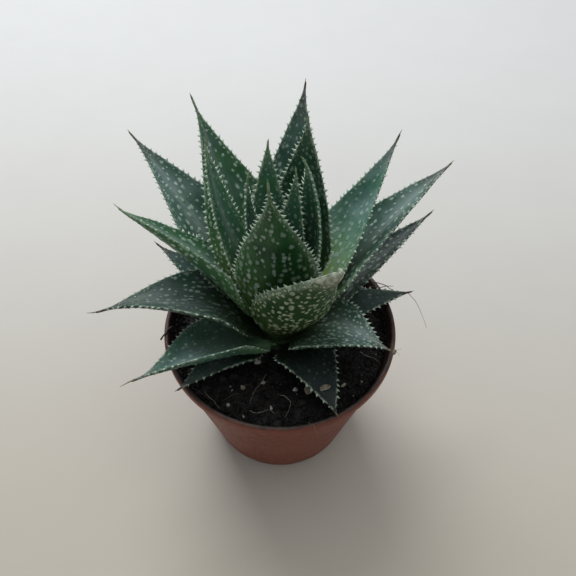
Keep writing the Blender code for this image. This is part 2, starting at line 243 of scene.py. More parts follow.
def closed_rings(rings, first, last):
    """A body from a grid of rings and a pole at each end: its points and its faces."""
    rows, columns = rings.shape[:2]
    end = rows * columns
    points = np.vstack([rings.reshape(-1, 3), [first], [last]])
    faces = [grid_faces(rows, columns), fan_faces(0, columns, end, True),
             fan_faces(end - columns, columns, end + 1)]
    return points, point_out(points, faces)


def turned(profile, steps):
    """A profile of (radius, height) points turned round Z, with a pole at both ends of the profile."""
    return closed_rings(rings_of(profile[1:-1], steps), (0, 0, profile[0, 1]), (0, 0, profile[-1, 1]))


def repeat_faces(faces, points_each, times):
    """The faces of one shape, repeated for copies that follow each other."""
    shift = np.arange(times)[:, None, None] * points_each
    return [(group[None] + shift).reshape(-1, group.shape[1]) for group in faces]


def stamp(shape, faces, places, x, y, z):
    """A small shape set down many times: each point is its place plus its three values along x, y and z.

    shape is (points, 3), or (copies, points, 3) where the copies differ.
    """
    points = places[:, None] + shape @ np.stack([x, y, z], 1)
    return points, repeat_faces(faces, points.shape[1], len(places))


def tubes(paths, radii, around):
    """Round tapered strands: a ring of points about each point of each path, and a pole at both ends.

    paths is (strands, points, 3) and radii (strands, points).  A ring's first direction is the cross
    product of the path's direction with one fixed direction for the whole strand.
    """
    ahead = unit(np.gradient(paths, axis=1))
    across = unit(paths[:, -1] - paths[:, 0])
    fixed = unit(np.cross(across, np.array([0.31, 0.17, 0.93])) + 0.01)[:, None]
    first = unit(np.cross(ahead, fixed))[:, :, None]
    second = np.cross(ahead[:, :, None], first)
    angle = circle(around)[:, None]
    body = paths[:, :, None] + (first * np.cos(angle) + second * np.sin(angle)) * radii[:, :, None, None]
    faces = closed_rings(body[0], paths[0, 0], paths[0, -1])[1]
    points = np.concatenate([body.reshape(len(paths), -1, 3), paths[:, :1], paths[:, -1:]], axis=1)
    return points, repeat_faces(faces, points.shape[1], len(paths))


def bead(level=1):
    """Points and faces of a lump of radius 1: twenty-sided at level 1, eighty-sided at level 2."""
    shape = bmesh.new()
    bmesh.ops.create_icosphere(shape, subdivisions=level, radius=1.0)
    points = np.array([v.co[:] for v in shape.verts])
    faces = np.array([[v.index for v in f.verts] for f in shape.faces])
    shape.free()
    return points, [faces]


# Meshes and objects

def fill_mesh(name, points, faces):
    """A mesh from points in millimetres and arrays of three- and four-sided faces."""
    mesh = bpy.data.meshes.new(name)
    corners = np.concatenate([group.ravel() for group in faces]).astype(np.int32)
    sides = np.concatenate([np.full(len(group), group.shape[1]) for group in faces])
    mesh.vertices.add(len(points))
    mesh.vertices.foreach_set("co", (points * MM).astype(np.float32).ravel())
    mesh.loops.add(len(corners))
    mesh.loops.foreach_set("vertex_index", corners)
    mesh.polygons.add(len(sides))
    mesh.polygons.foreach_set("loop_start", (np.cumsum(sides) - sides).astype(np.int32))
    mesh.update(calc_edges=True)
    mesh.validate()
    mesh.shade_smooth()
    return mesh


def add_object(name, data, material=None):
    """An object in the scene, at the origin, with its material."""
    if material:
        data.materials.append(material)
    item = bpy.data.objects.new(name, data)
    bpy.context.scene.collection.objects.link(item)
    return item


def settle(item, slot, *nodes):
    """Rides a piece on the one body and hides the nodes that it stands for; slot is not used."""
    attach(item, "root")
    if nodes:
        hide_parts(*nodes)


class Heap:
    """Parts of one piece, gathered as arrays before they go into its mesh."""

    def __init__(self, *names):
        self.points, self.faces, self.count = [], [], 0
        self.values = {name: [] for name in names}

    def add(self, points, faces, **values):
        """Adds points and faces, and for each attribute one value, or one for each copy or point."""
        points = points.reshape(-1, 3)
        self.points.append(points)
        self.faces += [group + self.count for group in faces]
        for name, store in self.values.items():
            value = np.asarray(values.get(name, 0.0), float).ravel()
            store.append(np.repeat(value, len(points) // value.size))
        self.count += len(points)

    def piece(self, name, material, slot, *nodes):
        """One smooth-shaded object from everything gathered."""
        mesh = fill_mesh(name, np.concatenate(self.points), self.faces)
        for key, store in self.values.items():
            data = mesh.attributes.new(key, "FLOAT", "POINT").data
            data.foreach_set("value", np.concatenate(store).astype(np.float32))
        settle(add_object(name, mesh, material), slot, *nodes)


def plain_piece(name, material, parts, slot="soil", nodes=()):
    """A piece from a list of points and faces, with no attributes."""
    heap = Heap()
    for points, faces in parts:
        heap.add(points, faces)
    heap.piece(name, material, slot, *nodes)


# Shader nodes

class Nodes:
    """One node tree, with a short word for each kind of node that the finishes use."""

    def __init__(self, tree):
        self.tree = tree

    def fill(self, node, inputs):
        """Sets inputs, given by name or number, to values, colours or other nodes' outputs."""
        for key, value in inputs.items():
            socket = node.inputs[key]
            if isinstance(value, bpy.types.NodeSocket):
                self.tree.links.new(value, socket)
            else:
                socket.default_value = (*value, 1.0) if socket.type == "RGBA" else value

    def put(self, kind, inputs, **settings):
        """A new node with its settings and inputs."""
        node = self.tree.nodes.new("ShaderNode" + kind)
        for key, value in settings.items():
            setattr(node, key, value)
        self.fill(node, inputs)
        return node

    @cached_property
    def where(self):
        """Object coordinates in metres."""
        return self.put("TexCoord", {}).outputs["Object"]

    @cached_property
    def height(self):
        """Height of Object coordinates in metres."""
        return self.put("SeparateXYZ", {0: self.where}).outputs[2]

    def attribute(self, name):
        """A point attribute of the piece, as a number."""
        return self.put("Attribute", {}, attribute_name=name, attribute_type="GEOMETRY").outputs["Fac"]

    def math(self, operation, *values, clamp=False):
        """The result of a Math node."""
        return self.put("Math", dict(enumerate(values)), operation=operation, use_clamp=clamp).outputs[0]

    def times(self, first, second):
        """The product."""
        return self.math("MULTIPLY", first, second)

    def line(self, value, factor, offset):
        """value times factor, plus offset."""
        return self.math("MULTIPLY_ADD", value, factor, offset)

    def span(self, value, low, high, to_low=0.0, to_high=1.0, curve="SMOOTHSTEP"):
        """value carried from low..high to to_low..to_high, smoothly if not told otherwise, and held there."""
        inputs = {0: value, 1: low, 2: high, 3: to_low, 4: to_high}
        return self.put("MapRange", inputs, interpolation_type=curve).outputs[0]

    def noise(self, scale, detail=3.0, roughness=0.55, where=None):
        """A noise value on Object coordinates, or on others."""
        inputs = {"Vector": self.where if where is None else where, "Scale": scale, "Detail": detail,
                  "Roughness": roughness}
        return self.put("TexNoise", inputs).outputs["Fac"]

    def patches(self, scale, low, high, to_low=0.0, to_high=1.0, detail=3.0, roughness=0.55):
        """Patches of noise with soft edges between low and high."""
        return self.span(self.noise(scale, detail, roughness), low, high, to_low, to_high)

    def mix(self, share, first, second, blend="MIX"):
        """Two colours blended."""
        mixed = self.put("Mix", {0: share, 6: first, 7: second}, data_type="RGBA", blend_type=blend)
        return mixed.outputs[2]

    def shaded(self, colour, value):
        """A colour times a number."""
        grey = self.put("CombineColor", {0: value, 1: value, 2: value}).outputs[0]
        return self.mix(1.0, colour, grey, "MULTIPLY")

    def tones(self, first, second, scale, fine_scale, depth):
        """The patchy tone group with its values."""
        inputs = dict(zip(TONE_INPUTS, (first, second, scale, fine_scale, depth)))
        return self.put("Group", inputs, node_tree=TONES).outputs["Color"]

    def grain(self, coarse, fine, share):
        """The surface grain group with its values."""
        inputs = dict(zip(GRAIN_INPUTS, (coarse, fine, share)))
        return self.put("Group", inputs, node_tree=GRAIN).outputs

    def finish(self, shader, colour, roughness, relief, distance, strength):
        """Feeds the shader its colour and roughness, and a bump of relief times distance in metres."""
        bump = self.put("Bump", {"Strength": strength, "Distance": distance, "Height": relief})
        self.fill(shader, {"Base Color": colour, "Roughness": roughness, "Normal": bump.outputs[0]})


TONE_INPUTS = {"Colour A": (0.1, 0.1, 0.1, 1.0), "Colour B": (0.2, 0.2, 0.2, 1.0), "Scale": 100.0,
               "Fine scale": 900.0, "Fine depth": 0.25}
GRAIN_INPUTS = {"Coarse": 200.0, "Fine": 2000.0, "Fine share": 0.5}


def new_group(name, inputs, kind, *outputs):
    """A shader node group with named sockets; returns it with its nodes and its two ends."""
    tree = bpy.data.node_groups.new(name, "ShaderNodeTree")
    for label, value in inputs.items():
        given = "NodeSocketColor" if isinstance(value, tuple) else "NodeSocketFloat"
        tree.interface.new_socket(label, in_out="INPUT", socket_type=given).default_value = value
    for label in outputs:
        tree.interface.new_socket(label, in_out="OUTPUT", socket_type="NodeSocket" + kind)
    return tree, Nodes(tree), tree.nodes.new("NodeGroupInput").outputs, tree.nodes.new("NodeGroupOutput")


def make_grain():
    """Group: fine and coarse noise on Object coordinates, as a height and a mask."""
    tree, n, given, out = new_group("surface grain", GRAIN_INPUTS, "Float", "Height", "Mask")
    coarse = n.noise(given["Coarse"], 4.0)
    fine = n.noise(given["Fine"], 2.0)
    height = n.put("Mix", {0: given["Fine share"], 2: coarse, 3: fine}).outputs[0]
    n.fill(out, {"Height": height, "Mask": n.span(coarse, 0.38, 0.64)})
    return tree


def make_tones():
    """Group: two colours blended by patches of noise on Object coordinates, then shaded by a finer noise."""
    tree, n, given, out = new_group("patchy tone", TONE_INPUTS, "Color", "Color")
    patch = n.patches(given["Scale"], 0.34, 0.66, detail=4.0, roughness=0.6)
    base = n.mix(patch, given["Colour A"], given["Colour B"])
    low = n.math("SUBTRACT", 1.0, given["Fine depth"])
    high = n.math("ADD", 1.0, given["Fine depth"])
    shade = n.span(n.noise(given["Fine scale"], 2.0), 0.3, 0.7, low, high, "LINEAR")
    n.fill(out, {"Color": n.shaded(base, shade)})
    return tree


GRAIN = make_grain()
TONES = make_tones()


def new_material(name, **settings):
    """A node material, its nodes and its shader; settings are constants on the shader's own sockets."""
    material = bpy.data.materials.new(name)
    material.use_nodes = True
    shader = material.node_tree.nodes["Principled BSDF"]
    for key, value in settings.items():
        shader.inputs[key].default_value = value
    return material, Nodes(material.node_tree), shader


# Finishes

MARGIN_GREEN = (0.060, 0.175, 0.045)
BASE_GREEN = (0.150, 0.235, 0.040)
WAX_AND_SHEEN_GREY = (0.230, 0.290, 0.270)
RIM_WHITE = (0.46, 0.56, 0.44)
TOOTH_WHITE = (0.66, 0.79, 0.64)

PLAIN_SPOTS = ((0.22, 0.34, 0.26), (0.47, 0.60, 0.50))
Finish = namedtuple("Finish", "margin_share deep fresh bloom bloom_share tip tip_share dry_dark dry_light "
                    "rim_low rim_high spot_dark spot_light", defaults=PLAIN_SPOTS)
FINISHES = {
    "outer": Finish(0.10, (0.018, 0.058, 0.043), (0.036, 0.100, 0.064), (0.135, 0.200, 0.198), 0.66,
                    (0.090, 0.075, 0.075), 0.80, (0.07, 0.045, 0.03), (0.24, 0.20, 0.14), 0.0, 0.42),
    "middle": Finish(0.35, (0.014, 0.064, 0.030), (0.043, 0.134, 0.054), (0.102, 0.178, 0.160), 0.42,
                     (0.170, 0.260, 0.140), 0.45, (0.12, 0.17, 0.07), (0.32, 0.42, 0.24), 0.0, 0.50),
    "inner": Finish(0.35, (0.018, 0.076, 0.044), (0.044, 0.142, 0.070), (0.118, 0.198, 0.180), 0.44,
                    (0.190, 0.290, 0.180), 0.5, (0.13, 0.20, 0.09), (0.36, 0.47, 0.29), 0.0, 0.55),
    "centre": Finish(0.35, (0.010, 0.064, 0.020), (0.034, 0.150, 0.040), (0.090, 0.180, 0.120), 0.20,
                     (0.110, 0.240, 0.080), 0.35, (0.12, 0.19, 0.07), (0.32, 0.44, 0.24), 0.0, 0.50),
    "front": Finish(0.25, (0.008, 0.040, 0.011), (0.024, 0.088, 0.020), (0.080, 0.140, 0.100), 0.25,
                    (0.120, 0.170, 0.100), 0.35, (0.26, 0.28, 0.19), (0.56, 0.60, 0.50), 0.25, 0.85,
                    (0.32, 0.43, 0.22), (0.64, 0.74, 0.52))}
# tone carries each leaf's painted light and shade; the streak attribute is wax and painted sheen
LEAF_VALUES = ("along", "across", "under", "rim", "tooth", "spot", "dry", "warm", "run_along", "run_across",
               "tone", "streak")


def leaf_skin(name, look):
    """Waxy leaf: patchy green, yellower at the base, lighter to the margins, a grey bloom with painted sheen,
    a whitish rim, and painted light and shade.
    """
    material, n, shader = new_material(name, **{"Coat Roughness": 0.35, "Specular IOR Level": 0.34})
    along, across, under, rim, tooth, spot, dry, warm, run_along, run_across, tone, streak = (
        n.attribute(value) for value in LEAF_VALUES)
    # lengthwise veins: noise on (millimetres across, millimetres along / 9)
    vein_place = n.put("CombineXYZ", {0: run_across, 1: n.times(run_along, 0.11), 2: under}).outputs[0]
    veins = n.noise(1.1, where=vein_place)
    colour = n.mix(n.span(veins, 0.35, 0.7, 0.0, 0.35), n.tones(look.deep, look.fresh, 70.0, 1100.0, 0.14),
                   look.fresh)
    outer = n.math("POWER", n.math("ABSOLUTE", across), 2.5)
    colour = n.mix(n.times(outer, look.margin_share), colour, MARGIN_GREEN)
    colour = n.mix(n.times(n.span(along, 0.55, -0.05), warm), colour, BASE_GREEN)
    # the bloom, partly wax and partly painted sheen, is strongest above and towards the tip
    patch = n.patches(95.0, 0.3, 0.7, detail=4.0, roughness=0.6)
    bloom_and_sheen_mask = n.times(n.times(patch, n.span(along, 0.1, 0.75, 0.35, 1.0)), n.line(under, -0.8, 1.0))
    colour = n.mix(n.times(bloom_and_sheen_mask, look.bloom_share), colour, look.bloom)
    # a pale streak along the upper face, part wax and part painted sheen
    colour = n.mix(n.times(streak, n.span(veins, 0.25, 0.7, 0.25, 0.75)), colour, WAX_AND_SHEEN_GREY)
    end = n.span(n.line(veins, 0.12, along), 0.84, 1.03, 0.0, look.tip_share)
    # tone paints light and shade over each leaf: lighter on lit leaves, darker on shaded ones and down among
    # the bases
    colour = n.shaded(n.mix(end, colour, look.tip), tone)
    # the leaf's painted light and shade (its tone) reaches spots, rim and teeth less than its green
    pale = n.mix(n.patches(420.0, 0.3, 0.7, detail=2.0), look.spot_dark, look.spot_light)
    pale = n.shaded(pale, n.math("MAXIMUM", n.math("MINIMUM", tone, 1.1), 0.5))
    colour = n.mix(n.times(n.span(spot, 0.08, 0.75), 0.90), colour, pale)
    worn = n.patches(560.0, 0.46, 0.6, look.rim_low, look.rim_high, detail=2.0)
    colour = n.mix(n.times(rim, worn), colour, RIM_WHITE)
    colour = n.mix(tooth, colour, TOOTH_WHITE)
    colour = n.mix(dry, colour, n.mix(n.patches(900.0, 0.35, 0.65), look.dry_dark, look.dry_light))
    rough = n.line(dry, 0.35, n.line(patch, 0.14, 0.36))
    relief = n.line(veins, 0.8, n.grain(380.0, 2600.0, 0.45)["Height"])
    n.finish(shader, colour, rough, relief, 0.00012, 0.7)
    return material


def pot_plastic():
    """Matt terracotta-coloured plastic: soft mottling, fine moulding grain, dust and splashes of soil."""
    material, n, shader = new_material("pot_matt_terracotta_plastic", **{"Specular IOR Level": 0.5})
    # dried splashes: small dark flecks, denser near the rim
    limit = n.math("SUBTRACT", 0.755, n.span(n.height, 0.050, 0.064, 0.0, 0.05))
    fleck = n.math("MULTIPLY", n.math("SUBTRACT", n.noise(620.0, 3.0, 0.6), limit), 40.0, clamp=True)
    clean = n.tones((0.176, 0.036, 0.0145), (0.214, 0.044, 0.018), 26.0, 1500.0, 0.06)
    colour = n.mix(n.times(fleck, 0.8), clean, (0.03, 0.02, 0.014))
    # a paler haze of dust and lime
    haze = n.patches(55.0, 0.45, 0.8, 0.0, 0.22, 5.0, 0.65)
    colour = n.mix(haze, colour, (0.26, 0.11, 0.065))
    # the inside of the wall and the inner part of the lip are painted near black, up to a ragged line along
    # the top of the lip
    apart = n.put("VectorMath", {0: n.where, 1: (1.0, 1.0, 0.0)}, operation="MULTIPLY").outputs[0]
    radius = n.put("VectorMath", {0: apart}, operation="LENGTH").outputs["Value"]
    slack = n.math("SUBTRACT", n.line(n.height, 0.2166, 0.0300), radius)
    ragged = n.line(n.noise(240.0, 4.0), 0.0016, -0.0008)
    over_lip = n.span(n.height, 0.0640, 0.0655, 0.0, 0.0009)
    inner = n.span(n.math("ADD", n.math("ADD", slack, over_lip), ragged), 0.0005, 0.0009)
    inside_darkening = n.mix(n.patches(500.0, 0.4, 0.7), (0.006, 0.0055, 0.0055), (0.034, 0.022, 0.018))
    colour = n.mix(n.times(inner, 0.93), colour, inside_darkening)
    # the lip is rubbed grey and dirty in long patches
    lip = n.times(n.span(n.height, 0.0650, 0.0657), n.patches(85.0, 0.35, 0.62, 0.10, 0.65, 4.0, 0.6))
    grime = n.mix(n.patches(300.0, 0.4, 0.62), (0.020, 0.015, 0.012), (0.085, 0.050, 0.036))
    colour = n.mix(lip, colour, grime)
    grain = n.grain(500.0, 3200.0, 0.6)
    rough = n.line(fleck, 0.3, n.line(grain["Mask"], 0.12, 0.47))
    n.finish(shader, colour, rough, n.line(fleck, 1.5, grain["Height"]), 0.00008, 0.6)
    return material


def peat():
    """Moist dark peat: near-black crumbs with browner bits and damp, glossier patches."""
    material, n, shader = new_material("soil_peat", **{"Specular IOR Level": 0.28})
    bits = n.put("TexVoronoi", {"Vector": n.where, "Scale": 900.0}, feature="F1").outputs["Distance"]
    dark = n.tones((0.0013, 0.0013, 0.0015), (0.0130, 0.0124, 0.0122), 260.0, 2600.0, 0.5)
    colour = n.mix(n.span(bits, 0.55, 0.8, 0.0, 0.5), dark, (0.030, 0.027, 0.024))
    damp = n.patches(130.0, 0.35, 0.62, 0.95, 0.55)
    n.finish(shader, colour, damp, n.grain(700.0, 2600.0, 0.5)["Height"], 0.0006, 0.9)
    return material


# Rough natural stuffs: two tones, scale of the patches, roughness, bump in metres, depth of fine shading
STUFFS = {
    "perlite": ((0.30, 0.28, 0.25), (0.52, 0.50, 0.46), 500.0, 0.85, 0.0003, 0.25),
    "peat_fibre": ((0.010, 0.007, 0.0055), (0.034, 0.024, 0.017), 300.0, 0.8, 0.0001, 0.3),
    "pale_root": ((0.070, 0.062, 0.052), (0.18, 0.165, 0.14), 250.0, 0.75, 0.0001, 0.25),
    "bark": ((0.010, 0.007, 0.005), (0.040, 0.026, 0.018), 400.0, 0.85, 0.0003, 0.35),
    "loose_root": ((0.15, 0.145, 0.125), (0.36, 0.35, 0.31), 260.0, 0.7, 0.0001, 0.2),
    "loose_fibre": ((0.022, 0.017, 0.014), (0.085, 0.066, 0.052), 300.0, 0.75, 0.0001, 0.3),
    "dry_husk": ((0.16, 0.13, 0.09), (0.36, 0.33, 0.25), 380.0, 0.8, 0.0002, 0.3),
    # stem_green is near black: the stem's dark green with painted shade where it shows among the leaf bases
    "stem_green": ((0.012, 0.022, 0.009), (0.030, 0.050, 0.017), 160.0, 0.6, 0.0003, 0.2)}


def stuff(name):
    """A rough natural stuff in two blended tones with a grain."""
    first, second, scale, roughness, bump, depth = STUFFS[name]
    material, n, shader = new_material(name)
    grain = n.grain(scale * 2, scale * 7, 0.5)
    n.finish(shader, n.tones(first, second, scale, scale * 4, depth),
             n.line(grain["Mask"], 0.15, roughness - 0.08), grain["Height"], bump, 0.8)
    return material


# Camera, floor and light

CAMERA_PLACE = (0.0028, -0.1447, 0.2748)
CAMERA_PITCH, CAMERA_ROLL = math.radians(52.07), math.radians(1.0)
LENS = 36.0 * 650 / 576


def stand(item, place, right, up, back):
    """Puts an object at a place, turned to three square directions."""
    matrix = np.eye(4)
    matrix[:3] = np.stack([right, up, back, place], 1)
    item.matrix_world = [list(row) for row in matrix.T]


def add_camera():
    """A 40.6 mm lens, 0.31 m off and 52 degrees down, with the photograph's one degree of roll."""
    lens = bpy.data.cameras.new("camera")
    lens.sensor_width = 36.0
    lens.lens = LENS
    lens.clip_start = 0.01
    item = add_object("camera", lens)
    ahead = towards(-CAMERA_PITCH, math.pi / 2)
    right = np.array([1.0, 0.0, 0.0])
    up = np.cross(right, ahead)
    stand(item, CAMERA_PLACE, right * math.cos(CAMERA_ROLL) + up * math.sin(CAMERA_ROLL),
          up * math.cos(CAMERA_ROLL) - right * math.sin(CAMERA_ROLL), -ahead)
    bpy.context.scene.camera = item


def add_floor():
    """A wide pale matt table top with painted light: darker and warmer in front, lighter and cooler behind.
    """
    material, n, shader = new_material("pale_table", **{"Specular IOR Level": 0.3})
    # painted light: the table's colour darkens and warms from the back to the front
    painted_light_from_behind = n.span(n.put("SeparateXYZ", {0: n.where}).outputs[1], -0.20, 0.30)
    warm = n.mix(painted_light_from_behind, (0.545, 0.492, 0.398), (0.742, 0.745, 0.735))
    cool = n.mix(painted_light_from_behind, (0.560, 0.508, 0.414), (0.756, 0.760, 0.752))
    relief = n.grain(60.0, 700.0, 0.3)["Height"]
    n.finish(shader, n.tones(warm, cool, 3.0, 40.0, 0.008), 0.7, relief, 0.0001, 0.3)
    corners = 1500.0 * np.array([(-1, -1, 0), (1, -1, 0), (1, 1, 0), (-1, 1, 0)])
    add_object("table_top", fill_mesh("table_top", corners, [np.array([[0, 1, 2, 3]])]), material)


def add_light(name, place, aim, size, power, colour):
    """A square area lamp of the given side in metres, looking at aim."""
    lamp = bpy.data.lights.new(name, "AREA")
    lamp.shape = "SQUARE"
    lamp.size = size
    lamp.energy = power
    lamp.color = colour
    back = unit(np.subtract(place, aim))
    side = unit(np.cross((0.0, 0.0, 1.0), back))
    stand(add_object(name, lamp), place, side, np.cross(back, side), back)


def add_studio():
    """Window-like light from behind on the left, a weak one above, and a soft grey surround."""
    add_light("window", (-0.30, 0.75, 0.95), (0, 0, 0.05), 0.7, 9.4, (0.97, 0.99, 1.0))
    add_light("ceiling", (0.15, 0.1, 1.3), (0, 0, 0.0), 1.2, 3.6, (1.0, 0.99, 0.97))
    world = bpy.data.worlds.new("surround")
    world.use_nodes = True
    sky = world.node_tree.nodes["Background"]
    Nodes(world.node_tree).fill(sky, {"Color": (0.93, 0.96, 1.0), "Strength": 0.31})
    bpy.context.scene.world = world
    bpy.context.scene.view_settings.view_transform = "Standard"


# Leaves

LEAF_FIELDS = "number around up length width thick rise_base rise_tip sweep twist fold ogee awn"


class Leaf(namedtuple("Leaf", LEAF_FIELDS)):
    """One leaf.  Shares t run along it from the stem, and shares u from -1 to 1 across a face.

    around: degrees from +X to the leaf; up: its base above the soil; rise: slope at base and at tip;
    sweep: change of heading; twist: roll about its own length; fold: slope of its halves;
    ogee: 0 for a straight taper, 1 for one drawn out at the tip; awn: length of the dry hair at the tip
    """

    @property
    def blunt(self):
        """Whether its tip is broken off and worn round, with no hair left."""
        return self.awn == 0

    @property
    def warm(self):
        """How far the yellow-green of its base shows."""
        return WARM_BASES.get(self.number, 0.45)

    @property
    def ring(self):
        """The ring of the rosette that it grows in."""
        return "inner" if self.number >= INNER_FROM else "middle" if self.number >= MIDDLE_FROM else "outer"

    def own(self, table):
        """The table's row for this leaf, or else for its ring."""
        return table.get(self.number) or table[self.ring]

    def tone(self, t):
        """Painted light and shade on its green: its own factor, with painted shade deeper down among the
        bases.
        """
        low = self.own(BASE_PAINTED_SHADE)
        return LEAF_PAINTED_LIGHT_AND_SHADE.get(self.number, 1.0) * (low + (1 - low) * rescale(t, 0.02, 0.42))

    def streak(self, t, u, under):
        """A pale streak along the upper face, part wax and part painted sheen: a bell across it, from near
        the stem to the tip.
        """
        if self.number not in WAX_AND_SHEEN_STREAKS:
            return 0.0 * t
        bell = np.exp(-((u - WAX_AND_SHEEN_STREAKS[self.number]) / STREAK_SPREAD) ** 2)
        return bell * rescale(t, 0.15, 0.5) * (np.asarray(under) < 0.5)

    def midline(self, t):
        """Points, side and face directions of the leaf's middle.

        The slope goes evenly from rise_base to rise_tip and the heading turns by sweep; each point is the
        sum of the steps before it.  Twist comes in over the first third.  Below 0 the leaf runs straight
        back into the stem.
        """
        fine = np.linspace(0.0, 1.0, 201)
        slope = np.radians(self.rise_base + (self.rise_tip - self.rise_base) * fine)
        heading = np.radians(self.around + self.sweep * fine)
        ahead = towards(slope, heading)
        steps = (ahead[1:] + ahead[:-1]) / 2 * self.length / (len(fine) - 1)
        start = (ramp(self.up, STEM_OUTLINE) + LEAF_GAP) * towards(0.0, math.radians(self.around))
        start[2] = SOIL_TOP + self.up
        path = start + np.vstack([np.zeros(3), np.cumsum(steps, axis=0)])
        pick = np.clip(t, 0.0, 1.0)
        slope = np.interp(pick, fine, slope)
        heading = np.interp(pick, fine, heading)
        points = np.stack([np.interp(pick, fine, path[:, k]) for k in range(3)], -1)
        points = points + np.minimum(t, 0.0)[..., None] * self.length * ahead[0]
        side = towards(0.0 * slope, heading + np.pi / 2)
        face = towards(slope + np.pi / 2, heading)
        roll = np.radians(self.twist) * np.clip(pick / 0.35, 0, 1)[..., None]
        return points, side * np.cos(roll) + face * np.sin(roll), face * np.cos(roll) - side * np.sin(roll)

    def half_width(self, t):
        """Half the width: grown by a sine up to the widest place, then tapered evenly or in an ogee."""
        grow = BASE_WIDTH + (1 - BASE_WIDTH) * np.sin(np.pi / 2 * np.clip(t / WIDEST_AT, 0, 1))
        s = np.clip((t - WIDEST_AT) / (1 - WIDEST_AT), 0, 1)
        if self.blunt:
            taper, least = 1 - BLUNT_TAPER * s ** BLUNT_CURVE, TIP_HALF_WIDTH
        else:
            taper = (1 - self.ogee) * (1 - s) + self.ogee * 0.5 * (1 + np.cos(np.pi * s))
            taper = taper * (1 - 0.3 * rescale(t, 0.8, 0.95))
            least = TIP_HALF_WIDTH + (HAIR_HALF_WIDTH - TIP_HALF_WIDTH) * rescale(t, 0.93, 0.99)
        return np.maximum(self.width / 2 * np.where(t < WIDEST_AT, grow, taper), least)

    def thickness(self, t):
        """Thickness over the keel: thin at the stem, full at a third, then drawn down to the tip."""
        t = np.clip(t, 0, 1)
        body = BASE_THICKNESS + (1 - BASE_THICKNESS) * np.clip(t / 0.3, 0, 1)
        body = (0.85 * (1 - t) ** 0.6 + 0.15) * body
        if self.blunt:
            return self.thick * body + WORN_END_SWELLING * rescale(t, 0.78, 1.0)
        return np.maximum(self.thick * body, TIP_THICKNESS - 0.4 * rescale(t, 0.93, 1.0))

    def skin(self, t, u, under, margin=0.0):
        """Points of its skin.

        The upper face follows an arc that folds the leaf up, and the underside hangs below it by
        edge + (thick - edge) * (1 - u * u) ** 0.7.  margin (0 to pi) turns from the upper face round the
        rounded edge to the underside.
        """
        mid, side, face = self.midline(t)
        half = self.half_width(t)
        thick = self.thickness(t)
        edge = np.minimum(EDGE_THICKNESS, thick)
        flat = np.clip(1 - edge / 2 / half, 0.06, 1.0)
        fold = np.radians(self.fold) * (0.55 + 0.45 * np.clip(t / 0.3, 0, 1))
        bend = (fold * u * flat)[..., None]
        radius = (half / fold)[..., None]
        point = mid + side * radius * np.sin(bend) + face * radius * (1 - np.cos(bend))
        normal = face * np.cos(bend) - side * np.sin(bend)
        outward = (side * np.cos(bend) + face * np.sin(bend)) * np.sign(u)[..., None]
        depth = edge + (thick - edge) * np.clip(1 - u * u, 0, 1) ** 0.7
        waves = 0.16 * lattice_noise(point, 7.0, 40 + self.number)
        waves = waves + 0.07 * lattice_noise(point, 2.6, 80 + self.number)
        waves = np.minimum(waves * np.clip(1.2 - np.abs(u), 0, 1) * np.clip(half / 4, 0, 1), 0.1)
        below = np.asarray(under) > 0.5
        turning = np.asarray(margin) > 0
        off = np.where(turning, (np.cos(margin) - 1) * edge / 2, np.where(below, -depth - waves, waves))
        out = np.where(turning, np.sin(margin) * edge / 2, 0.0)
        return point + normal * off[..., None] + outward * out[..., None]

    def frame_at(self, t, u, under, margin=0.0):
        """Points of its skin with their lengthwise directions, by small differences."""
        ahead = unit(self.skin(t + 0.01, u, under, margin) - self.skin(t - 0.01, u, under, margin))
        return self.skin(t, u, under, margin), ahead


LEAVES = [Leaf(number, *row) for number, row in enumerate(LEAF_ROWS, start=1)]


def spot_shape():
    """A low dome with its rim sunk in: rings at radius 1.12, 0.74 and 0.36, a bottom and a top point."""
    rings = rings_of(((1.12, -0.32), (0.74, 0.36), (0.36, 0.88)), 8)
    rise = np.repeat([0.0, 0.5, 1.0, 0.0, 1.0], [8, 8, 8, 1, 1])
    return *closed_rings(rings, (0, 0, -1.3), (0, 0, 1.0)), rise


def tooth_shape():
    """A flat thorn along +X with its point leaning to +Y: three ovals and a point, sunk 0.25 at its root."""
    rows = np.array([(-0.25, -0.04, 0.70, 0.26), (0.18, 0.02, 0.42, 0.19), (0.56, 0.13, 0.18, 0.11)])
    out, lean, wide, thin = rows.T[..., None]
    rings = np.stack([out + 0 * circle(6), lean + wide * np.cos(circle(6)), thin * np.sin(circle(6))], -1)
    return closed_rings(rings, (-0.25, 0.0, 0.0), (1.0, 0.36, 0.0))


SPOT, SPOT_FACES, SPOT_RISE = spot_shape()
TOOTH, TOOTH_FACES = tooth_shape()
TOOTH_RISE = np.clip(TOOTH[:, 0] * 2.0 + 0.7, 0.0, 1.0)


